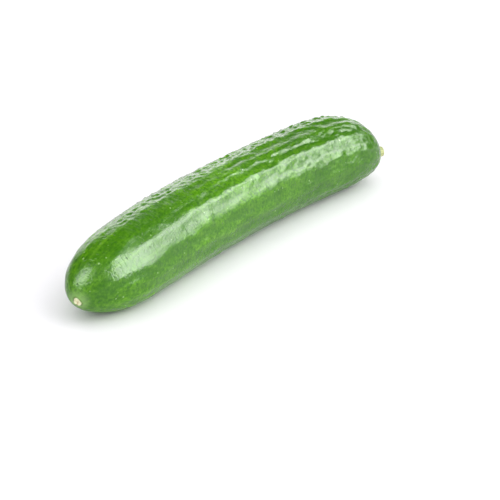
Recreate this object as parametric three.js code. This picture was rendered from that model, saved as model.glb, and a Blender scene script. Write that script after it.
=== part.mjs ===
// A whole slicing cucumber, picked and lying on its side on a flat surface. All sizes are in millimetres.
// It grew as one piece, so it is one closed solid: the body, the blossom scar at one end and the cut stem
// stump at the other. +X runs from the blossom end to the stem end, +Z is up, and the body bows towards +Y.
import * as THREE from "three";
import { mergeVertices } from "three/addons/utils/BufferGeometryUtils.js";

// The body: half its thickness at the middle, and the line it grew along, seen from above.
const BODY_RADIUS = 22.5;
const SPINE = [
  [-122, 0],
  [-89, 12],
  [71, 21],
  [122, 0],
];

// The body thins by this share towards the blossom end, over the nose.
const NOSE = { share: 0.13, length: 110 };

// Each end closes in a rounded cap: its length, and how softly it leaves the body (2 is an ellipse).
const BLOSSOM_CAP = { length: 41, power: 2.7 };
const STEM_CAP = { length: 45, power: 2.4 };

// How far each tip is off the body's axis, to +Y and downwards, and the length that it bends away over.
const BLOSSOM_TIP = { lean: 5.5, droop: 2.6, length: 43 };
const STEM_TIP = { lean: -6.5, droop: 5, length: 43 };

// The scar that the flower left: a low ring round a dimple.
const SCAR = { radius: 2.1, foot: 2.7, height: 0.5, dimple: 0.35 };
// It sits this far below the middle of the tip. The skin round it is turned with it, about the middle of the
// tip's curve, and less with distance from the tip.
const SCAR_SHIFT = { down: 2, curve: 12.6, length: 18 };

// The stump that stays where the fruit was cut from the vine: a short stalk with a hollow pith.
const STUMP = { radius: 3.1, flare: 5.2, length: 3.4, pith: 1.5, pithDepth: 0.7 };

// Relief of the skin: long shallow ridges, low lumps strung along them, and a slow unevenness.
const RIDGES = { count: 16, height: 0.32, nearShare: 0.4 };
const LUMPS = { count: 230, height: 0.5, halfLength: 4, halfWidth: 2.2 };
const SWELL = { height: 0.45, length: 46 };

// The underside is pressed flat where the fruit rests: how far its lowest line would reach below the surface.
const REST_DEPTH = 0.9;

// The mesh: faces round the body, rings along it, and rings on each cap.
const FACES_ROUND = 80;
const BODY_RINGS = 44;
const CAP_RINGS = 9;

const SKIN_GREEN = "#3f8a1c";
const SIDEWAYS = new THREE.Vector3(0, 0, 1);
const GOLDEN_ANGLE = Math.PI * (3 - Math.sqrt(5));

const spine = new THREE.CubicBezierCurve3(
  ...SPINE.map(([x, y]) => new THREE.Vector3(x, y, 0)),
);
const spineLength = spine.getLength();

// 1 at the end of a stretch, easing to 0 a given length away from it.
function closeness(distance, length) {
  return THREE.MathUtils.clamp(1 - distance / length, 0, 1);
}

// Half the body's thickness at a place along it, before its ends close.
function bodyRadius(along) {
  return BODY_RADIUS * (1 - NOSE.share * closeness(along, NOSE.length) ** 2);
}

// Points of a cap's outline, from its tip to where it meets the body: distance from the tip and share of
// the body's radius.
function capPoints({ length, power }) {
  const points = [];
  for (let ring = 1; ring <= CAP_RINGS; ring++) {
    const turn = ((Math.PI / 2) * ring) / CAP_RINGS;
    points.push({
      inset: length * (1 - Math.cos(turn) ** (2 / power)),
      share: Math.sin(turn),
    });
  }
  return points;
}

// The outline that the straight fruit is turned from, as (radius, distance along), tip to stump. The scar's
// ring is rounded at its top, and the stump flares at its foot.
function outline() {
  const blossomCap = capPoints(BLOSSOM_CAP).map(({ inset, share }) => [
    share * bodyRadius(inset),
    inset,
  ]);
  const stemCap = capPoints(STEM_CAP).map(({ inset, share }) => [
    share * bodyRadius(spineLength - inset),
    spineLength - inset,
  ]);
  const scar = [
    [0, SCAR.dimple - SCAR.height],
    [SCAR.radius * 0.5, SCAR.dimple * 0.8 - SCAR.height],
    [SCAR.radius * 0.85, -SCAR.height],
    [SCAR.radius, -SCAR.height * 0.7],
    [SCAR.foot, SCAR.height * 0.3],
  ];
  const bodyStart = BLOSSOM_CAP.length;
  const bodyEnd = spineLength - STEM_CAP.length;
  const body = [];
  for (let ring = 1; ring < BODY_RINGS; ring++) {
    const along = bodyStart + ((bodyEnd - bodyStart) * ring) / BODY_RINGS;
    body.push([bodyRadius(along), along]);
  }
  const stumpTop = spineLength + STUMP.length;
  const stump = [
    [STUMP.flare, spineLength - 1.2],
    [(STUMP.flare + STUMP.radius) / 2, spineLength - 0.3],
    [STUMP.radius * 1.1, spineLength + STUMP.length * 0.25],
    [STUMP.radius, spineLength + STUMP.length * 0.6],
    [STUMP.radius * 0.94, stumpTop],
    [STUMP.pith, stumpTop - STUMP.pithDepth * 0.3],
    [0, stumpTop - STUMP.pithDepth],
  ];
  return [
    ...scar,
    ...blossomCap.filter(([radius]) => radius > SCAR.foot * 1.2),
    ...body,
    ...stemCap.reverse().filter(([radius]) => radius > STUMP.flare * 1.2),
    ...stump,
  ].map(([radius, along]) => new THREE.Vector2(radius, along));
}

// A lump sits at each step of a golden-angle spiral, so the lumps cover the body evenly and never line up.
const lumps = Array.from({ length: LUMPS.count }, (_, i) => ({
  along: (spineLength * (i + 0.5)) / LUMPS.count,
  angle: (i * GOLDEN_ANGLE) % (2 * Math.PI),
  height: LUMPS.height * (0.65 + 0.35 * Math.sin(i * 2.3)),
}));

function lumpHeight(along, angle) {
  let height = 0;
  for (const lump of lumps) {
    const lengthwise = (along - lump.along) / LUMPS.halfLength;
    if (Math.abs(lengthwise) > 3) continue;
    const turn = Math.atan2(Math.sin(angle - lump.angle), Math.cos(angle - lump.angle));
    const crosswise = (turn * BODY_RADIUS) / LUMPS.halfWidth;
    height += lump.height * Math.exp(-(lengthwise ** 2) - crosswise ** 2);
  }
  return height;
}

// Ridges run the whole length, unevenly spaced and unevenly high, and are fainter towards the blossom end.
function ridgeHeight(along, angle) {
  const growth = THREE.MathUtils.smoothstep(along, spineLength * 0.15, spineLength * 0.6);
  const strength = RIDGES.nearShare + (1 - RIDGES.nearShare) * growth;
  const wander = 0.5 * Math.sin(3 * angle + 1) + 0.35 * Math.sin(along / 38 + 2 * angle);
  const unevenness = 0.7 + 0.3 * Math.sin(2 * angle + 0.7 + along / 60);
  return RIDGES.height * strength * unevenness * Math.cos(RIDGES.count * angle + wander);
}

// Two slow waves that keep the body from being perfectly round.
function swellHeight(along, angle) {
  const wave = Math.sin(along / SWELL.length + 0.8) * Math.cos(angle + 0.9);
  const turned = Math.sin(along / (0.6 * SWELL.length)) * Math.sin(2 * angle + 0.4);
  return SWELL.height * (0.6 * wave + 0.4 * turned);
}

// Height of the skin's relief, which dies away where a cap closes, the ridges first.
function relief(along, angle, radius) {
  const fade = THREE.MathUtils.smoothstep(radius, SCAR.foot, BODY_RADIUS);
  const rounded = lumpHeight(along, angle) + swellHeight(along, angle);
  return fade * (rounded + fade * ridgeHeight(along, angle));
}

// A point of the straight fruit (X up, Y along it, Z to the side) after the skin near the tip is turned.
function turnedAtTip(point) {
  const share = closeness(point.y, SCAR_SHIFT.length) ** 2;
  const middle = new THREE.Vector3(0, SCAR_SHIFT.curve, 0);
  const angle = (-share * SCAR_SHIFT.down) / SCAR_SHIFT.curve;
  return point.sub(middle).applyAxisAngle(SIDEWAYS, angle).add(middle);
}

// Bends the straight turned fruit along the spine, raises its relief and presses its underside flat.
function laidAlongSpine(turned) {
  const position = turned.getAttribute("position");
  const point = new THREE.Vector3();
  for (let i = 0; i < position.count; i++) {
    turnedAtTip(point.fromBufferAttribute(position, i));
    const radius = Math.hypot(point.x, point.z);
    const angle = Math.atan2(point.x, point.z);
    const along = point.y;
    const share = THREE.MathUtils.clamp(along / spineLength, 0, 1);
    const centre = spine.getPointAt(share);
    const heading = spine.getTangentAt(share);
    const side = new THREE.Vector3(-heading.y, heading.x, 0);
    const blossomBend = closeness(along, BLOSSOM_TIP.length) ** 2;
    const stemBend = closeness(spineLength - along, STEM_TIP.length) ** 2;
    centre.addScaledVector(heading, along - share * spineLength);
    centre.addScaledVector(side, BLOSSOM_TIP.lean * blossomBend + STEM_TIP.lean * stemBend);
    const droop = BLOSSOM_TIP.droop * blossomBend ** 2 + STEM_TIP.droop * stemBend ** 2;
    centre.z = bodyRadius(share * spineLength) - REST_DEPTH - droop;
    const reach = radius + relief(along, angle, radius);
    centre.addScaledVector(side, reach * Math.cos(angle));
    centre.z = Math.max(0, centre.z + reach * Math.sin(angle));
    position.setXYZ(i, centre.x, centre.y, centre.z);
  }
  return turned;
}

// The turned shape's rings share their vertices, and its empty faces at the two poles are left out.
function closedLathe(points) {
  const lathe = new THREE.LatheGeometry(points, FACES_ROUND);
  lathe.deleteAttribute("normal");
  lathe.deleteAttribute("uv");
  const merged = mergeVertices(lathe, 1e-4);
  const corners = merged.index.array;
  const faces = [];
  for (let i = 0; i < corners.length; i += 3) {
    const [a, b, c] = corners.slice(i, i + 3);
    if (a !== b && b !== c && c !== a) faces.push(a, b, c);
  }
  merged.setIndex(faces);
  return merged;
}

const body = laidAlongSpine(closedLathe(outline()));

// The origin is under the middle of the fruit's box, on the surface that it rests on.
body.computeBoundingBox();
const middle = body.boundingBox.getCenter(new THREE.Vector3());
body.translate(-middle.x, -middle.y, -body.boundingBox.min.z);
body.computeVertexNormals();

const cucumber = new THREE.Mesh(
  body,
  new THREE.MeshStandardMaterial({ color: SKIN_GREEN, roughness: 0.35, metalness: 0 }),
);
cucumber.name = "cucumber";

const part = new THREE.Group();
part.add(cucumber);

export default part;
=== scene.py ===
"""The looks of a whole slicing cucumber on its side: waxy green skin with pale speckles and streaks.

The fruit is turned as a straight one, tip to stump, its relief is raised, and it is then bent along the line
that it grew along. Lengths are in metres. +X runs from the blossom end to the stem end, and +Z is up.
"""

import math

import bpy
import numpy as np
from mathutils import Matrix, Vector


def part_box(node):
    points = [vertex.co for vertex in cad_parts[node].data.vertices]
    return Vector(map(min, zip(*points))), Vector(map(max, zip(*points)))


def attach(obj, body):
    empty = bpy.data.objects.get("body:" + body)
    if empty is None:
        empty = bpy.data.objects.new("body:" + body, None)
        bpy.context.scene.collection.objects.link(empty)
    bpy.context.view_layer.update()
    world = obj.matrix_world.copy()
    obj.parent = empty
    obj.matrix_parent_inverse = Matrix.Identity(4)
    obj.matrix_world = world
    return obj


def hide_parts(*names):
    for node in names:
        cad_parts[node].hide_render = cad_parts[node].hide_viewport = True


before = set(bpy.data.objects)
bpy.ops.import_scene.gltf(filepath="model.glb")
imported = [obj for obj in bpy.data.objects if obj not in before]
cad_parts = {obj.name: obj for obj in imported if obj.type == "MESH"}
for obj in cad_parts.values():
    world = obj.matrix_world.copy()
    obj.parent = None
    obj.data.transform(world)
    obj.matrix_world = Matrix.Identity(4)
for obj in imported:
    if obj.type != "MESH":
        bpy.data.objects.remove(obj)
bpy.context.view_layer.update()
FRUIT_LOW, FRUIT_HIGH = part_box("cucumber")

bl_info = {
    "name": "Slicing Cucumber",
    "version": (1, 0, 0),
    "blender": (4, 5, 0),
    "location": "View3D > Sidebar > Cucumber",
    "description": "Grows a whole slicing cucumber with waxy skin, and sets up its studio",
    "category": "Add Mesh",
}

MM = 0.001

# The line that the fruit grew along, seen from above: the four points of a Bezier curve.
SPINE = ((-122 * MM, 0), (-89 * MM, 12 * MM), (71 * MM, 21 * MM), (122 * MM, 0))
SPINE_STEPS = 2000

# The body thins by this share towards the blossom end, over the nose.
NOSE_SHARE = 0.13
NOSE_LENGTH = 110 * MM

# Each end closes in a rounded cap: its length, and how softly it leaves the body (2 is an ellipse).
BLOSSOM_CAP = (41 * MM, 2.7)
STEM_CAP = (45 * MM, 2.4)

# How far each tip is off the body's axis, to +Y and downwards, and the length that it bends away over.
BLOSSOM_TIP = (5.5 * MM, 2.6 * MM, 43 * MM)
STEM_TIP = (-6.5 * MM, 5 * MM, 43 * MM)

# The scar's ring, its foot, its height and its dimple. It sits below the middle of the tip.
SCAR_RADIUS = 2.1 * MM
SCAR_FOOT = 2.7 * MM
SCAR_HEIGHT = 0.5 * MM
SCAR_DIMPLE = 0.35 * MM
SCAR_DOWN = 2 * MM
TIP_CURVE = 12.6 * MM
TIP_TURN_LENGTH = 18 * MM

# The stump: a short stalk that flares into the fruit, with a hollow pith at its cut.
STUMP_RADIUS = 3.1 * MM
STUMP_FLARE = 5.2 * MM
STUMP_LENGTH = 3.4 * MM
PITH_RADIUS = 1.5 * MM
PITH_DEPTH = 0.7 * MM

# Low relief: ridges, lumps on a golden-angle spiral, and a slow swell. The lumps are lower than the solid's,
# because pebbles come on top of them here.
RIDGE_COUNT = 16
RIDGE_HEIGHT = 0.32 * MM
RIDGE_NEAR_SHARE = 0.4
LUMP_COUNT = 230
LUMP_HEIGHT = 0.36 * MM
LUMP_HALF_LENGTH = 4 * MM
LUMP_HALF_WIDTH = 2.2 * MM
SWELL_HEIGHT = 0.45 * MM
SWELL_LENGTH = 46 * MM
GOLDEN_ANGLE = math.pi * (3 - math.sqrt(5))

# The ends are smooth: no pebbles where the fruit is thinner than the first radius, and all from the second.
PEBBLED_RADII = (8 * MM, 20 * MM)

# Long pebbles are faint near the blossom end and grow over a stretch, which starts soonest at one angle round
# the fruit, in degrees up from +Y. They are drawn out lengthwise.
LONG_SIDE = 50
LONG_START = 85 * MM
LONG_START_SWING = 60 * MM
LONG_RUN = 80 * MM
LONG_NEAR_SHARE = 0.15
LONG_GROWTH = 0.55
LONG_STRETCH = 3.2

# Round pebbles cover a strip along the back, which is this many degrees up from +Y. The strip's edge is given
# as cosines of the angle from its middle. It starts behind the tip and is strongest on the stem half, where
# a few round pebbles are all round the fruit.
BACK_ANGLE = 40
BACK_EDGE = (0.53, 0.78)
BACK_START = (5 * MM, 45 * MM)
BACK_GROWTH = (90 * MM, 150 * MM)
BACK_NEAR_SHARE = 0.65
ALL_ROUND_START = (110 * MM, 170 * MM)
ALL_ROUND_SHARE = 0.15
ROUND_RISE = 2.3
ROUND_STRETCH = 1.7

# How far the lowest line of the body would reach below the surface that it is pressed flat on.
REST_DEPTH = 0.9 * MM

# The mesh before it is subdivided: faces round it, and rings on each stretch.
FACES_ROUND = 56
CAP_RINGS = 20
BODY_RINGS = 51
SUBDIVISIONS = 2

# Patterns of the skin, as features per metre. Patches are 21 mm across, mottles 4 mm, the grain 1.6 mm, the
# swells of the peel 1.1 mm and creases 3 mm apart. Ticks lie 9 mm apart round the fruit.
PATCHES = 48.0
MOTTLES = 250.0
GRAIN = 620.0
TICKS = 110.0
SCAR_EDGE = 700.0
CORK = 1400.0
WAX = 420.0
PEEL = 900.0
CREASES = 330.0

# How each pattern is drawn out: below 1, it is longer in that direction. X is along the fruit.
MOTTLE_STRETCH = (0.45, 1, 1)
TICK_STRETCH = (2.4, 1, 1)
CREASE_STRETCH = (1, 0.25, 0.25)

# Streaks change slowly along the fruit and quickly round it, and the stump's fibres only round it.
STREAK_LENGTHWISE = (14, 0, 0)
STREAK_ROUND = (5.5, 5.5, 5.5)
STREAKS = 1.6
FIBRES = 9.0

# Plant wax over wet cells.
WAX_IOR = 1.38

# The scar's cork is an oval, turned round the tip by these degrees and this much narrower one way.
SCAR_TURN = -38
SCAR_NARROWING = 0.77

# The floor's paper: its two whites as sRGB hex values, and how many uneven patches it has per metre.
PAPER_WHITE = "#f6f4f8"
PAPER_SHADE = "#f2f0f5"
PAPER_PATCHES = 3.0
FLOOR_WIDTH = 16

# The windows that only the wax mirrors: name, centre, the point that it faces, width and height, radiance.
WINDOWS = (
    ("near window", (0.24, -1, 0.98), (0.24, 0, 0.98), (1.32, 1.69), 17.5),
    ("side window", (0.99, -1, 1.46), (0.99, 0, 1.46), (0.18, 1.46), 15),
    ("tall window", (1.15, -1, 1.27), (1.15, 0, 1.27), (0.14, 1.84), 16),
    ("high window", (1.475, -1, 1.52), (1.475, 0, 1.52), (0.51, 1.34), 16),
    ("far window", (1.544, -0.655, 1.089), (0, 0, 0), (0.41, 0.62), 12),
    ("end window", (-1, 0.15, 0.75), (0, 0.15, 0.75), (0.8, 0.9), 13),
)

# The soft lights on the skin and the floor, which the wax doesn't mirror, given in the same way.
SOFT_LIGHTS = (
    ("key", (0.2, -1.1, 1.1), (0, 0, 0), (1.2, 1.2), 1.3),
    ("front fill", (-1.1, -0.8, 0.6), (0, 0, 0), (1.6, 1.0), 0.9),
)

# A bright ceiling: how far it leans and how wide it is, in degrees.
CEILING_LEAN = 18
CEILING_SPREAD = 125

# What the wax mirrors beyond the windows: a white wall in one direction, darker ones elsewhere, and a dark
# ceiling. The wall's sides are given as cosines from its middle, and the walls' top as sines of elevation.
BACK_WALL_DIRECTION = (0.75, 0.66, 0)
BACK_WALL_EDGE = (0.78, 0.97)
WALL_TOP = (0.4, 0.62)
BACK_WALL_RADIANCE = 3.0
FRONT_WALL_RADIANCE = 0.1
CEILING_RADIANCE = 0.05

# The camera: its place, how far it looks down and to the right of +Y in degrees, and its lens.
CAMERA_PLACE = (-0.6152, -0.4927, 0.3727)
CAMERA_DOWN = 25.68
CAMERA_RIGHT = 52.16
SENSOR_WIDTH = 36
FOCAL_PIXELS = 1600
PICTURE_PIXELS = 500


class FruitSizes(bpy.types.PropertyGroup):
    """Sizes of the fruit that a user would change"""

    body_radius: bpy.props.FloatProperty(
        name="Body radius",
        description="Half the fruit's thickness at its middle",
        default=22.5 * MM,
        unit="LENGTH",
    )
    pebble_size: bpy.props.FloatProperty(
        name="Pebble size",
        description="Width of the small pebbles between the ridges",
        default=2.2 * MM,
        unit="LENGTH",
    )
    pebble_height: bpy.props.FloatProperty(
        name="Pebble height",
        description="Height of the highest pebble over the deepest valley",
        default=0.9 * MM,
        unit="LENGTH",
    )
    speckle_spacing: bpy.props.FloatProperty(
        name="Speckle spacing",
        description="Distance between the pale speckles of the skin",
        default=3.4 * MM,
        unit="LENGTH",
    )


class SkinColours(bpy.types.PropertyGroup):
    """Colours of the skin, the scar and the stump, as sRGB hex values"""

    bright: bpy.props.StringProperty(
        name="Bright green",
        description="Skin where it grew in the light",
        default="#538f08",
    )
    # Deep green is also painted into the relief's valleys as their shade.
    deep: bpy.props.StringProperty(
        name="Deep green",
        description="Darkest patches of the skin",
        default="#2e6306",
    )
    pale: bpy.props.StringProperty(
        name="Pale green",
        description="Streaks and the lightest mottles of the skin",
        default="#86bf2e",
    )
    speckle: bpy.props.StringProperty(
        name="Speckle",
        description="Tiny dots all over the skin, and the skin right round the scar",
        default="#aed08a",
    )
    # Painted shade: the dark colour laid into the sunken ticks.
    tick_shade: bpy.props.StringProperty(
        name="Tick",
        description="Short dark nicks in the skin",
        default="#1f3d10",
    )
    scar: bpy.props.StringProperty(
        name="Scar",
        description="Dry cream cork of the blossom scar",
        default="#dfe0b8",
    )
    scar_rim: bpy.props.StringProperty(
        name="Scar rim",
        description="Skin where the cork ends",
        default="#4b6322",
    )
    cork_grain: bpy.props.StringProperty(
        name="Cork grain",
        description="Darker grains of the scar's cork",
        default="#b5a070",
    )
    cork_centre: bpy.props.StringProperty(
        name="Cork centre",
        description="Brown middle of the scar",
        default="#a9946a",
    )
    stump: bpy.props.StringProperty(
        name="Stump",
        description="Cut stem, between its fibres",
        default="#b7b780",
    )
    fibre: bpy.props.StringProperty(
        name="Fibre",
        description="Greener fibres of the stem",
        default="#6f8a3a",
    )


def linear(hex_colour):
    """A linear RGBA colour from an sRGB hex value."""
    channels = [int(hex_colour[i : i + 2], 16) / 255 for i in (1, 3, 5)]
    return tuple(
        c / 12.92 if c <= 0.04045 else ((c + 0.055) / 1.055) ** 2.4 for c in channels
    ) + (1,)


def smooth_step(value, low, high):
    share = np.clip((value - low) / (high - low), 0, 1)
    return share * share * (3 - 2 * share)


def closeness(distance, length):
    """1 at the end of a stretch, easing to 0 a given length away from it."""
    return np.clip(1 - distance / length, 0, 1)


class Spine:
    """The line that the fruit grew along, by distance along it."""

    def __init__(self):
        first, second, third, fourth = (np.array(point) for point in SPINE)
        share = np.linspace(0, 1, SPINE_STEPS + 1)[:, None]
        rest = 1 - share
        self.points = (
            rest**3 * first
            + 3 * rest**2 * share * second
            + 3 * rest * share**2 * third
            + share**3 * fourth
        )
        headings = (
            rest**2 * (second - first)
            + 2 * rest * share * (third - second)
            + share**2 * (fourth - third)
        )
        self.headings = headings / np.linalg.norm(headings, axis=1)[:, None]
        steps = np.linalg.norm(np.diff(self.points, axis=0), axis=1)
        self.distance = np.concatenate([[0], np.cumsum(steps)])
        self.length = self.distance[-1]

    def point(self, along):
        return np.stack([np.interp(along, self.distance, c) for c in self.points.T], 1)

    def heading(self, along):
        found = np.stack(
            [np.interp(along, self.distance, c) for c in self.headings.T], 1
        )
        return found / np.linalg.norm(found, axis=1)[:, None]


spine = Spine()


def body_radius(sizes, along):
    """Half the body's thickness at a place along it, before its ends close."""
    return sizes.body_radius * (
        1 - NOSE_SHARE * closeness(along, NOSE_LENGTH) ** 2
    )


def cap_points(length, power):
    """Insets from a cap's tip, and the share of the body's radius at each."""
    turn = math.pi / 2 * np.arange(1, CAP_RINGS + 1) / CAP_RINGS
    return length * (1 - np.cos(turn) ** (2 / power)), np.sin(turn)


def outline(sizes):
    """The outline that the straight fruit is turned from, as (distance along, radius), tip to stump.

    The scar is a rounded ring about a dimple, and the stump flares at its foot and has a rounded rim.
    """
    inset, share = cap_points(*BLOSSOM_CAP)
    blossom_cap = list(zip(inset, share * body_radius(sizes, inset)))
    inset, share = cap_points(*STEM_CAP)
    stem_cap = list(
        zip(spine.length - inset, share * body_radius(sizes, spine.length - inset))
    )
    ends = BLOSSOM_CAP[0], spine.length - STEM_CAP[0]
    body_along = np.linspace(*ends, BODY_RINGS + 1)[1:-1]
    body = list(zip(body_along, body_radius(sizes, body_along)))
    scar = [
        (SCAR_DIMPLE - SCAR_HEIGHT, 0),
        (SCAR_DIMPLE - SCAR_HEIGHT, SCAR_RADIUS * 0.25),
        (SCAR_DIMPLE * 0.8 - SCAR_HEIGHT, SCAR_RADIUS * 0.5),
        (SCAR_DIMPLE * 0.3 - SCAR_HEIGHT, SCAR_RADIUS * 0.7),
        (-SCAR_HEIGHT, SCAR_RADIUS * 0.87),
        (-SCAR_HEIGHT * 0.7, SCAR_RADIUS),
        (-SCAR_HEIGHT * 0.15, SCAR_RADIUS * 1.12),
        (SCAR_HEIGHT * 0.3, SCAR_FOOT),
    ]
    top = spine.length + STUMP_LENGTH
    stump = [
        (spine.length - 1.2 * MM, STUMP_FLARE),
        (spine.length - 0.6 * MM, STUMP_FLARE * 0.55 + STUMP_RADIUS * 0.45),
        (spine.length + STUMP_LENGTH * 0.05, STUMP_RADIUS * 1.2),
        (spine.length + STUMP_LENGTH * 0.3, STUMP_RADIUS * 1.07),
        (spine.length + STUMP_LENGTH * 0.6, STUMP_RADIUS),
        (top - 0.25 * MM, STUMP_RADIUS * 0.98),
        (top, STUMP_RADIUS * 0.94),
        (top, STUMP_RADIUS * 0.8),
        (top - PITH_DEPTH * 0.1, PITH_RADIUS * 1.1),
        (top - PITH_DEPTH * 0.6, PITH_RADIUS * 0.85),
        (top - PITH_DEPTH, PITH_RADIUS * 0.4),
        (top - PITH_DEPTH, 0),
    ]
    return (
        scar
        + [point for point in blossom_cap if point[1] > SCAR_FOOT * 1.2]
        + body
        + [point for point in reversed(stem_cap) if point[1] > STUMP_FLARE * 1.15]
        + stump
    )


def ridge_height(along, angle):
    """Ridges run the whole length, unevenly high, and are fainter towards the blossom end."""
    growth = smooth_step(along, spine.length * 0.15, spine.length * 0.6)
    strength = RIDGE_NEAR_SHARE + (1 - RIDGE_NEAR_SHARE) * growth
    wander = 0.5 * np.sin(3 * angle + 1)
    wander += 0.35 * np.sin(along / (38 * MM) + 2 * angle)
    unevenness = 0.7 + 0.3 * np.sin(2 * angle + 0.7 + along / (60 * MM))
    return (
        RIDGE_HEIGHT * strength * unevenness * np.cos(RIDGE_COUNT * angle + wander)
    )


def lump_height(sizes, along, angle):
    """Lumps sit at each step of a golden-angle spiral, so they cover the body evenly and never line up."""
    height = np.zeros_like(along)
    for i in range(LUMP_COUNT):
        lengthwise = (along - spine.length * (i + 0.5) / LUMP_COUNT) / LUMP_HALF_LENGTH
        near = np.abs(lengthwise) <= 3
        turn = angle[near] - i * GOLDEN_ANGLE
        turn = np.arctan2(np.sin(turn), np.cos(turn))
        crosswise = turn * sizes.body_radius / LUMP_HALF_WIDTH
        own_height = LUMP_HEIGHT * (0.65 + 0.35 * math.sin(i * 2.3))
        height[near] += own_height * np.exp(-(lengthwise[near] ** 2) - crosswise**2)
    return height


def swell_height(along, angle):
    """Two slow waves that keep the body from being perfectly round."""
    wave = np.sin(along / SWELL_LENGTH + 0.8) * np.cos(angle + 0.9)
    turned = np.sin(along / (0.6 * SWELL_LENGTH)) * np.sin(2 * angle + 0.4)
    return SWELL_HEIGHT * (0.6 * wave + 0.4 * turned)


def relief(sizes, along, angle, radius):
    """Height of the relief, which dies away where a cap closes, the ridges first."""
    fade = smooth_step(radius, SCAR_FOOT, sizes.body_radius)
    rounded = lump_height(sizes, along, angle) + swell_height(along, angle)
    return fade * (rounded + fade * ridge_height(along, angle))


def positions(piece):
    found = np.empty(len(piece.data.vertices) * 3)
    piece.data.vertices.foreach_get("co", found)
    return found.reshape(-1, 3)


def place(piece, points):
    piece.data.vertices.foreach_set("co", points.ravel())
    piece.data.update()


def keep_attribute(piece, name, kind, values):
    """Stores a value for each vertex, which the skin's pattern reads."""
    attribute = piece.data.attributes.new(name, kind, "POINT")
    field = "vector" if kind == "FLOAT_VECTOR" else "value"
    attribute.data.foreach_set(field, np.asarray(values, dtype=np.float32).ravel())


def turned_fruit(sizes):
    """The straight fruit along +X: an outline extruded point by point, spun, and subdivided."""
    bpy.ops.object.select_all(action="DESELECT")
    bpy.ops.mesh.primitive_plane_add(size=1 * MM)
    fruit = bpy.context.object
    fruit.name = fruit.data.name = "cucumber_skin"
    bpy.ops.object.mode_set(mode="EDIT")
    bpy.ops.mesh.select_all(action="SELECT")
    bpy.ops.mesh.merge(type="CENTER")
    points = outline(sizes)
    bpy.ops.transform.translate(value=(points[0][0], 0, 0))
    for before, after in zip(points, points[1:]):
        step = (after[0] - before[0], 0, after[1] - before[1])
        bpy.ops.mesh.extrude_region_move(TRANSFORM_OT_translate={"value": step})
    bpy.ops.mesh.select_all(action="SELECT")
    bpy.ops.mesh.spin(
        steps=FACES_ROUND, angle=2 * math.pi, center=(0, 0, 0), axis=(1, 0, 0)
    )
    bpy.ops.mesh.select_all(action="SELECT")
    bpy.ops.mesh.remove_doubles(threshold=0.001 * MM)
    bpy.ops.mesh.normals_make_consistent(inside=False)
    bpy.ops.object.mode_set(mode="OBJECT")
    smooth = fruit.modifiers.new("finer", "SUBSURF")
    smooth.levels = smooth.render_levels = SUBDIVISIONS
    bpy.ops.object.modifier_apply(modifier=smooth.name)
    return fruit


def turn_skin_at_tip(points):
    """Turns the skin near the tip down, about the middle of the tip's curve, so that the scar sits low."""
    share = closeness(points[:, 0], TIP_TURN_LENGTH) ** 2
    angle = share * SCAR_DOWN / TIP_CURVE
    ahead = points[:, 0] - TIP_CURVE
    up = points[:, 2]
    turned = points.copy()
    turned[:, 0] = TIP_CURVE + ahead * np.cos(angle) - up * np.sin(angle)
    turned[:, 2] = ahead * np.sin(angle) + up * np.cos(angle)
    return turned


def displace_by_clouds(fruit, name, weight, width, height, length):
    """Raises soft random bumps of one size where the weight is high. Length is in bump widths."""
    group = fruit.vertex_groups.new(name=name)
    for index, share in enumerate(weight):
        group.add([index], float(share), "REPLACE")
    bpy.ops.object.empty_add()
    stretch = bpy.context.object
    stretch.scale = (length, 1, 1)
    bpy.context.view_layer.update()
    clouds = bpy.data.textures.new(name, "CLOUDS")
    clouds.noise_scale = width
    clouds.noise_depth = 1
    bpy.context.view_layer.objects.active = fruit
    bumps = fruit.modifiers.new(name, "DISPLACE")
    bumps.texture = clouds
    bumps.texture_coords = "OBJECT"
    bumps.texture_coords_object = stretch
    bumps.vertex_group = group.name
    bumps.strength = height
    bumps.mid_level = 0.5
    bpy.ops.object.modifier_apply(modifier=bumps.name)
    bpy.data.objects.remove(stretch)
    fruit.vertex_groups.clear()


def raise_pebbles(fruit, sizes):
    """Long pebbles between the ridges, mostly towards the stem, and round ones along the back."""
    points = positions(fruit)
    along = points[:, 0]
    turn = np.arctan2(points[:, 2], points[:, 1])
    body = smooth_step(np.hypot(points[:, 1], points[:, 2]), *PEBBLED_RADII)

    start = LONG_START - LONG_START_SWING * np.cos(turn - math.radians(LONG_SIDE))
    far = LONG_NEAR_SHARE + LONG_GROWTH * smooth_step(along, start, start + LONG_RUN)

    back = smooth_step(np.cos(turn - math.radians(BACK_ANGLE)), *BACK_EDGE)
    back *= smooth_step(along, *BACK_START)
    growth = smooth_step(along, *BACK_GROWTH)
    back *= BACK_NEAR_SHARE + (1 - BACK_NEAR_SHARE) * growth
    all_round = ALL_ROUND_SHARE * smooth_step(along, *ALL_ROUND_START)
    round_ones = body * np.maximum(back, all_round)

    width, height = sizes.pebble_size, sizes.pebble_height
    displace_by_clouds(fruit, "long pebbles", body * far, width, height, LONG_STRETCH)
    displace_by_clouds(
        fruit, "round pebbles", round_ones, width, height * ROUND_RISE, ROUND_STRETCH
    )


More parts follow.
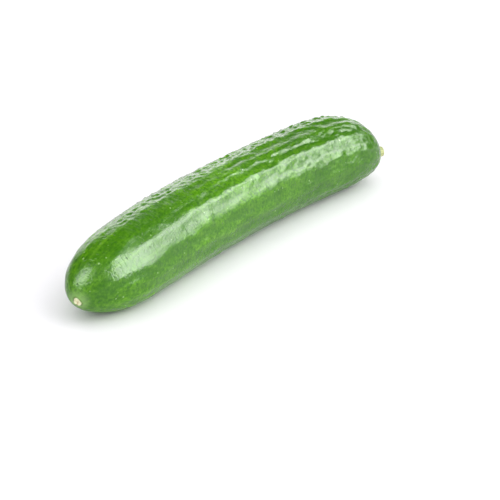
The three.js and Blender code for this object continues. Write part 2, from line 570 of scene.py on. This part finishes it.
def lay_along_spine(sizes, points):
    """Bends the straight fruit along the spine, raises its relief and presses its underside flat."""
    along = points[:, 0]
    radius = np.hypot(points[:, 1], points[:, 2])
    angle = np.arctan2(points[:, 2], points[:, 1])
    height = relief(sizes, along, angle, radius)
    reach = radius + height
    held = np.clip(along, 0, spine.length)
    heading = spine.heading(held)
    side = np.stack([-heading[:, 1], heading[:, 0]], 1)
    blossom_lean, blossom_droop, blossom_length = BLOSSOM_TIP
    stem_lean, stem_droop, stem_length = STEM_TIP
    blossom_bend = closeness(along, blossom_length) ** 2
    stem_bend = closeness(spine.length - along, stem_length) ** 2
    lean = blossom_lean * blossom_bend + stem_lean * stem_bend
    droop = blossom_droop * blossom_bend**2 + stem_droop * stem_bend**2
    across = (lean + reach * np.cos(angle))[:, None]
    plan = spine.point(held) + heading * (along - held)[:, None] + side * across
    centre = body_radius(sizes, held) - REST_DEPTH - droop
    rise = np.maximum(0, centre + reach * np.sin(angle))
    return np.column_stack([plan, rise]), height


def add_node(tree, kind, inputs=None, **settings):
    """Adds a node with its settings. Each input is a value, or a socket to link from."""
    node = tree.nodes.new(kind)
    for name, value in settings.items():
        setattr(node, name, value)
    for name, value in (inputs or {}).items():
        if isinstance(value, bpy.types.NodeSocket):
            tree.links.new(value, node.inputs[name])
        else:
            node.inputs[name].default_value = value
    return node


def eased(tree, *changes):
    """Smooth changes, multiplied. Each is a socket, where it starts and ends, and what it gives there."""
    product = None
    for value, start, end, first, last in changes:
        change = add_node(
            tree,
            "ShaderNodeMapRange",
            {
                "Value": value,
                "From Min": start,
                "From Max": end,
                "To Min": first,
                "To Max": last,
            },
            interpolation_type="SMOOTHSTEP",
        ).outputs["Result"]
        if product is None:
            product = change
        else:
            product = add_node(
                tree, "ShaderNodeMath", {0: product, 1: change}, operation="MULTIPLY"
            ).outputs[0]
    return product


def painted(tree, under, over, *changes):
    """A colour with another laid over it, as strongly as the eased changes say."""
    return add_node(
        tree,
        "ShaderNodeMix",
        {"Factor": eased(tree, *changes), 6: under, 7: over},
        data_type="RGBA",
    ).outputs[2]


class SkinPlaces:
    """Sockets that say where the skin was on the straight fruit, so that patterns follow its bend."""

    def __init__(self, tree):
        self.grown = add_node(
            tree, "ShaderNodeAttribute", attribute_name="grown"
        ).outputs["Vector"]
        self.relief = add_node(
            tree, "ShaderNodeAttribute", attribute_name="relief"
        ).outputs["Fac"]
        self.along = add_node(
            tree, "ShaderNodeSeparateXYZ", {"Vector": self.grown}
        ).outputs["X"]
        self.across = add_node(
            tree,
            "ShaderNodeVectorMath",
            {0: self.grown, 1: (0, 1, 1)},
            operation="MULTIPLY",
        ).outputs["Vector"]
        self.off_axis = add_node(
            tree, "ShaderNodeVectorMath", {0: self.across}, operation="LENGTH"
        ).outputs["Value"]
        self.around = add_node(
            tree, "ShaderNodeVectorMath", {0: self.across}, operation="NORMALIZE"
        ).outputs["Vector"]


def mottled_green(tree, places, colours):
    """Patches of deeper green, mottles drawn out lengthwise, and a fine grain.

    The valleys of the relief get a deeper green as painted shade, and the stem half is a deeper green.
    """
    patches = add_node(
        tree,
        "ShaderNodeTexNoise",
        {"Vector": places.grown, "Scale": PATCHES, "Detail": 3.0},
    ).outputs["Fac"]
    drawn_out = add_node(
        tree,
        "ShaderNodeVectorMath",
        {0: places.grown, 1: MOTTLE_STRETCH},
        operation="MULTIPLY",
    ).outputs["Vector"]
    mottles = add_node(
        tree,
        "ShaderNodeTexNoise",
        {"Vector": drawn_out, "Scale": MOTTLES, "Detail": 4.0, "Roughness": 0.65},
    ).outputs["Fac"]
    grain = add_node(
        tree,
        "ShaderNodeTexNoise",
        {"Vector": places.grown, "Scale": GRAIN, "Detail": 3.0, "Roughness": 0.75},
    ).outputs["Fac"]
    deep = linear(colours.deep)
    pale = linear(colours.pale)
    more_from_tip = (places.along, 10 * MM, 80 * MM, 0.06, 0.25)
    layers = (
        (deep, (patches, 0.4, 0.68, 0.0, 0.5)),
        (deep, (mottles, 0.5, 0.72, 0.0, 0.45)),
        (pale, (mottles, 0.5, 0.3, 0.0, 1.0), more_from_tip),
        (deep, (grain, 0.48, 0.62, 0.0, 0.85)),
        (pale, (grain, 0.47, 0.32, 0.0, 0.35)),
        # Painted shade: the low valleys of the relief are laid over with deep green.
        (deep, (places.relief, -0.4, 0.3, 0.55, 0.0)),
        (deep, (places.along, 110 * MM, 190 * MM, 0.0, 0.45)),
    )
    colour = linear(colours.bright)
    for over, *changes in layers:
        colour = painted(tree, colour, over, *changes)
    return colour


def streaked(tree, places, colour, colours):
    """Streaks that run from the scar and fade out along the body, and pale skin right round the scar."""
    lengthwise = add_node(
        tree,
        "ShaderNodeVectorMath",
        {0: places.grown, 1: STREAK_LENGTHWISE},
        operation="MULTIPLY",
    ).outputs["Vector"]
    streak_place = add_node(
        tree,
        "ShaderNodeVectorMath",
        {0: places.around, 1: STREAK_ROUND, 2: lengthwise},
        operation="MULTIPLY_ADD",
    ).outputs["Vector"]
    streaks = add_node(
        tree,
        "ShaderNodeTexNoise",
        {"Vector": streak_place, "Scale": STREAKS, "Detail": 5.0, "Roughness": 0.6},
    ).outputs["Fac"]
    colour = painted(
        tree,
        colour,
        linear(colours.pale),
        (streaks, 0.5, 0.72, 0.0, 1.0),
        (places.along, 8 * MM, 60 * MM, 0.24, 0.04),
    )
    return painted(
        tree,
        colour,
        linear(colours.speckle),
        (places.off_axis, 2.2 * MM, 7 * MM, 0.35, 0.0),
        (places.along, 2 * MM, 14 * MM, 1.0, 0.0),
    )


def speckled(tree, places, colour, sizes, colours):
    """Pale speckles up to 0.9 mm across, one in most cells of a random grid."""
    cells = add_node(
        tree,
        "ShaderNodeTexVoronoi",
        {"Vector": places.grown, "Scale": 1 / sizes.speckle_spacing},
    )
    cell_kind = add_node(
        tree, "ShaderNodeSeparateColor", {"Color": cells.outputs["Color"]}
    ).outputs["Red"]
    reach = eased(tree, (cell_kind, 0.3, 1.0, 0.02, 0.14))
    inside = add_node(
        tree,
        "ShaderNodeMath",
        {0: reach, 1: cells.outputs["Distance"]},
        operation="SUBTRACT",
    ).outputs[0]
    return painted(
        tree, colour, linear(colours.speckle), (inside, -0.02, 0.03, 0.0, 0.6)
    )


def distance_to_tick(tree, places):
    """Distance from the middle of the nearest nick, in cells of the pattern.

    Ticks are short sunken nicks that run round the fruit, about 1.2 mm long and 0.5 mm wide; their dark
    colour is painted shade.
    """
    squeezed = add_node(
        tree,
        "ShaderNodeVectorMath",
        {0: places.grown, 1: TICK_STRETCH},
        operation="MULTIPLY",
    ).outputs["Vector"]
    return add_node(
        tree, "ShaderNodeTexVoronoi", {"Vector": squeezed, "Scale": TICKS}
    ).outputs["Distance"]


def scarred(tree, places, colour, colours):
    """The blossom scar: dry cream cork with a ragged oval edge, a darker rim and a brown middle.

    Gives the colour, and where the cork is.
    """
    ragged = add_node(
        tree, "ShaderNodeTexNoise", {"Vector": places.grown, "Scale": SCAR_EDGE}
    ).outputs["Fac"]
    oval = add_node(
        tree,
        "ShaderNodeMapping",
        {
            "Vector": places.across,
            "Rotation": (math.radians(SCAR_TURN), 0, 0),
            "Scale": (1, SCAR_NARROWING, 1),
        },
        vector_type="TEXTURE",
    ).outputs["Vector"]
    from_middle = add_node(
        tree, "ShaderNodeVectorMath", {0: oval}, operation="LENGTH"
    ).outputs["Value"]
    reach = add_node(
        tree,
        "ShaderNodeMath",
        {0: ragged, 1: 1.6 * MM, 2: from_middle},
        operation="MULTIPLY_ADD",
    ).outputs[0]
    at_tip = (places.along, 4 * MM, 6 * MM, 1.0, 0.0)
    on_scar = eased(tree, (reach, 2.7 * MM, 3.2 * MM, 1.0, 0.0), at_tip)
    colour = painted(
        tree,
        colour,
        linear(colours.scar_rim),
        (reach, 3.2 * MM, 4.2 * MM, 0.7, 0.0),
        at_tip,
    )
    grain = add_node(
        tree, "ShaderNodeTexNoise", {"Vector": places.grown, "Scale": CORK}
    ).outputs["Fac"]
    cork = painted(
        tree,
        linear(colours.scar),
        linear(colours.cork_grain),
        (grain, 0.5, 0.7, 0.0, 1.0),
    )
    cork = painted(
        tree,
        cork,
        linear(colours.cork_centre),
        (places.off_axis, 0.2 * MM, 1.2 * MM, 0.5, 0.0),
    )
    colour = add_node(
        tree, "ShaderNodeMix", {"Factor": on_scar, 6: colour, 7: cork}, data_type="RGBA"
    ).outputs[2]
    return colour, on_scar


def stumped(tree, places, colour, colours):
    """The cut stump: dull straw colour with greener fibres along it.

    Gives the colour, and where the stump is.
    """
    start = spine.length - 0.4 * MM
    on_stump = eased(tree, (places.along, start, start + 1.6 * MM, 0.0, 1.0))
    fibres = add_node(
        tree,
        "ShaderNodeTexNoise",
        {"Vector": places.around, "Scale": FIBRES, "Detail": 4.0},
    ).outputs["Fac"]
    straw = painted(
        tree, linear(colours.stump), linear(colours.fibre), (fibres, 0.4, 0.65, 0.0, 1.0)
    )
    colour = add_node(
        tree, "ShaderNodeMix", {"Factor": on_stump, 6: colour, 7: straw}, data_type="RGBA"
    ).outputs[2]
    return colour, on_stump


def wax_roughness(tree, places, ticks, on_scar, on_stump):
    """The wax is a little uneven, and duller round the tip. Ticks, cork and stump lose the gloss."""
    wax = add_node(
        tree,
        "ShaderNodeTexNoise",
        {"Vector": places.grown, "Scale": WAX, "Detail": 4.0},
    ).outputs["Fac"]
    satin = eased(tree, (wax, 0.3, 0.7, 0.15, 0.25))
    dull_tip = eased(tree, (places.along, 6 * MM, 24 * MM, 0.25, 0.0))
    roughness = add_node(
        tree, "ShaderNodeMath", {0: satin, 1: dull_tip}, operation="MAXIMUM"
    ).outputs[0]
    dry = add_node(
        tree, "ShaderNodeMath", {0: on_scar, 1: on_stump}, operation="MAXIMUM"
    ).outputs[0]
    for share, own_roughness in ((ticks, 0.6), (dry, 0.75)):
        roughness = add_node(
            tree, "ShaderNodeMix", {"Factor": share, 2: roughness, 3: own_roughness}
        ).outputs[0]
    return roughness


def fine_bumps(tree, places, ticks):
    """A peel of 1 mm swells with finer pores, thin creases that run round the fruit, and sunken ticks."""
    peel = add_node(
        tree,
        "ShaderNodeTexNoise",
        {"Vector": places.grown, "Scale": PEEL, "Detail": 3.0, "Roughness": 0.6},
    ).outputs["Fac"]
    crease_place = add_node(
        tree,
        "ShaderNodeVectorMath",
        {0: places.grown, 1: CREASE_STRETCH},
        operation="MULTIPLY",
    ).outputs["Vector"]
    folds = add_node(
        tree,
        "ShaderNodeTexNoise",
        {"Vector": crease_place, "Scale": CREASES, "Detail": 3.0},
    ).outputs["Fac"]
    # A crease lies where the folds pass through their mean.
    off_mean = add_node(
        tree, "ShaderNodeMath", {0: folds, 1: 0.5}, operation="SUBTRACT"
    ).outputs[0]
    off_mean = add_node(
        tree, "ShaderNodeMath", {0: off_mean}, operation="ABSOLUTE"
    ).outputs[0]
    creases = eased(tree, (off_mean, 0.0, 0.035, 0.0, 1.0))
    normal = None
    for height, strength, depth in (
        (peel, 1.0, 0.12 * MM),
        (creases, 0.8, 0.06 * MM),
        (ticks, 0.8, -0.15 * MM),
    ):
        inputs = {"Height": height, "Strength": strength, "Distance": depth}
        if normal:
            inputs["Normal"] = normal
        normal = add_node(tree, "ShaderNodeBump", inputs).outputs["Normal"]
    return normal


def waxy_skin(sizes, colours):
    """Cucumber skin: soft green rind under a thin film of plant wax, so its gloss is satin."""
    material = bpy.data.materials.new("waxy cucumber skin")
    material.use_nodes = True
    tree = material.node_tree
    places = SkinPlaces(tree)

    colour = mottled_green(tree, places, colours)
    colour = streaked(tree, places, colour, colours)
    colour = speckled(tree, places, colour, sizes, colours)
    to_tick = distance_to_tick(tree, places)
    # Painted shade: the sunken ticks are darkened with this colour.
    colour = painted(tree, colour, linear(colours.tick_shade), (to_tick, 0.05, 0.09, 0.7, 0.0))
    colour, on_scar = scarred(tree, places, colour, colours)
    colour, on_stump = stumped(tree, places, colour, colours)

    ticks = eased(tree, (to_tick, 0.05, 0.09, 1.0, 0.0))
    roughness = wax_roughness(tree, places, ticks, on_scar, on_stump)
    shader = tree.nodes["Principled BSDF"]
    tree.links.new(colour, shader.inputs["Base Color"])
    tree.links.new(roughness, shader.inputs["Roughness"])
    tree.links.new(fine_bumps(tree, places, ticks), shader.inputs["Normal"])
    shader.inputs["IOR"].default_value = WAX_IOR
    return material


def white_paper():
    """Seamless white studio paper: matte, with a trace of unevenness."""
    material = bpy.data.materials.new("white studio paper")
    material.use_nodes = True
    tree = material.node_tree
    shader = tree.nodes["Principled BSDF"]
    place_on_sheet = add_node(tree, "ShaderNodeTexCoord").outputs["Object"]
    patches = add_node(
        tree, "ShaderNodeTexNoise", {"Vector": place_on_sheet, "Scale": PAPER_PATCHES}
    ).outputs["Fac"]
    colour = add_node(
        tree,
        "ShaderNodeMix",
        {"Factor": patches, 6: linear(PAPER_WHITE), 7: linear(PAPER_SHADE)},
        data_type="RGBA",
    ).outputs[2]
    tree.links.new(colour, shader.inputs["Base Color"])
    shader.inputs["Roughness"].default_value = 0.9
    shader.inputs["Specular IOR Level"].default_value = 0.1
    return material


def softbox(name, centre, facing, size, radiance, in_gloss=True, in_diffuse=True):
    """A rectangular softbox at a place, turned to face a point, that sends out an even radiance."""
    toward = Vector(centre) - Vector(facing)
    bpy.ops.object.light_add(type="AREA", location=centre)
    light = bpy.context.object
    light.name = light.data.name = name
    light.rotation_euler = toward.to_track_quat("Z", "Y").to_euler()
    light.data.shape = "RECTANGLE"
    light.data.size, light.data.size_y = size
    light.data.energy = radiance * math.pi * size[0] * size[1]
    light.visible_glossy = in_gloss
    light.visible_diffuse = in_diffuse


def studio_walls():
    """A white wall behind the fruit and darker ones in front, all fading to a dark ceiling above them."""
    world = bpy.data.worlds.new("studio walls")
    world.use_nodes = True
    tree = world.node_tree
    direction = add_node(tree, "ShaderNodeTexCoord").outputs["Generated"]
    rise = add_node(tree, "ShaderNodeSeparateXYZ", {"Vector": direction}).outputs["Z"]
    behind = add_node(
        tree,
        "ShaderNodeVectorMath",
        {0: direction, 1: BACK_WALL_DIRECTION},
        operation="DOT_PRODUCT",
    ).outputs["Value"]
    walls = eased(
        tree,
        (behind, *BACK_WALL_EDGE, FRONT_WALL_RADIANCE, BACK_WALL_RADIANCE),
        (rise, *WALL_TOP, 1.0, 0.0),
    )
    brightness = add_node(
        tree, "ShaderNodeMath", {0: walls, 1: CEILING_RADIANCE}, operation="ADD"
    ).outputs[0]
    background = tree.nodes["Background"]
    background.inputs["Color"].default_value = (1, 1, 1, 1)
    tree.links.new(brightness, background.inputs["Strength"])
    return world


class CUCUMBER_OT_fruit(bpy.types.Operator):
    """Grows the whole fruit, with its relief, and gives it its skin"""

    bl_idname = "cucumber.fruit"
    bl_label = "Fruit"

    def execute(self, context):
        sizes = context.scene.fruit_sizes
        fruit = turned_fruit(sizes)
        grown = positions(fruit)
        raise_pebbles(fruit, sizes)
        pebbled = positions(fruit)
        laid, height = lay_along_spine(sizes, turn_skin_at_tip(pebbled))
        height += np.hypot(*pebbled[:, 1:].T) - np.hypot(*grown[:, 1:].T)
        laid[:, :2] += (FRUIT_LOW + FRUIT_HIGH).xy / 2 - Vector(
            (laid[:, :2].max(0) + laid[:, :2].min(0)) / 2
        )
        place(fruit, laid)
        keep_attribute(fruit, "grown", "FLOAT_VECTOR", grown)
        keep_attribute(fruit, "relief", "FLOAT", height / MM)
        bpy.ops.object.select_all(action="DESELECT")
        fruit.select_set(True)
        bpy.ops.object.shade_smooth()
        fruit.data.materials.append(waxy_skin(sizes, context.scene.skin_colours))
        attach(fruit, "root")
        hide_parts("cucumber")
        return {"FINISHED"}


class CUCUMBER_OT_stage(bpy.types.Operator):
    """Adds the white floor, the soft lights and the camera"""

    bl_idname = "cucumber.stage"
    bl_label = "Stage"

    def execute(self, context):
        scene = context.scene
        bpy.ops.mesh.primitive_plane_add(size=FLOOR_WIDTH)
        floor = context.object
        floor.name = floor.data.name = "floor"
        floor.data.materials.append(white_paper())

        for window in WINDOWS:
            softbox(*window, in_diffuse=False)
        for light in SOFT_LIGHTS:
            softbox(*light, in_gloss=False)
        bpy.ops.object.light_add(type="SUN", rotation=(math.radians(CEILING_LEAN), 0, 0))
        ceiling = context.object
        ceiling.name = ceiling.data.name = "ceiling"
        ceiling.data.angle = math.radians(CEILING_SPREAD)
        ceiling.data.energy = math.pi
        ceiling.visible_glossy = False
        scene.world = studio_walls()
        scene.view_settings.view_transform = "Standard"

        bpy.ops.object.camera_add(
            location=CAMERA_PLACE,
            rotation=(math.radians(90 - CAMERA_DOWN), 0, math.radians(-CAMERA_RIGHT)),
        )
        camera = context.object
        camera.data.sensor_width = SENSOR_WIDTH
        camera.data.lens = SENSOR_WIDTH * FOCAL_PIXELS / PICTURE_PIXELS
        scene.camera = camera
        return {"FINISHED"}


class CUCUMBER_PT_parts(bpy.types.Panel):
    """Lists what the add-on makes, with the sizes and colours that it uses"""

    bl_label = "Cucumber"
    bl_idname = "CUCUMBER_PT_parts"
    bl_space_type = "VIEW_3D"
    bl_region_type = "UI"
    bl_category = "Cucumber"

    def draw(self, context):
        for group in (context.scene.fruit_sizes, context.scene.skin_colours):
            for name in group.__annotations__:
                self.layout.prop(group, name)
        self.layout.operator(CUCUMBER_OT_fruit.bl_idname)
        self.layout.operator(CUCUMBER_OT_stage.bl_idname)


CLASSES = (
    FruitSizes,
    SkinColours,
    CUCUMBER_OT_fruit,
    CUCUMBER_OT_stage,
    CUCUMBER_PT_parts,
)


def register():
    for cls in CLASSES:
        bpy.utils.register_class(cls)
    bpy.types.Scene.fruit_sizes = bpy.props.PointerProperty(type=FruitSizes)
    bpy.types.Scene.skin_colours = bpy.props.PointerProperty(type=SkinColours)


def unregister():
    del bpy.types.Scene.skin_colours
    del bpy.types.Scene.fruit_sizes
    for cls in reversed(CLASSES):
        bpy.utils.unregister_class(cls)


def main():
    register()
    bpy.ops.cucumber.fruit()
    bpy.ops.cucumber.stage()


if __name__ == "__main__":
    main()
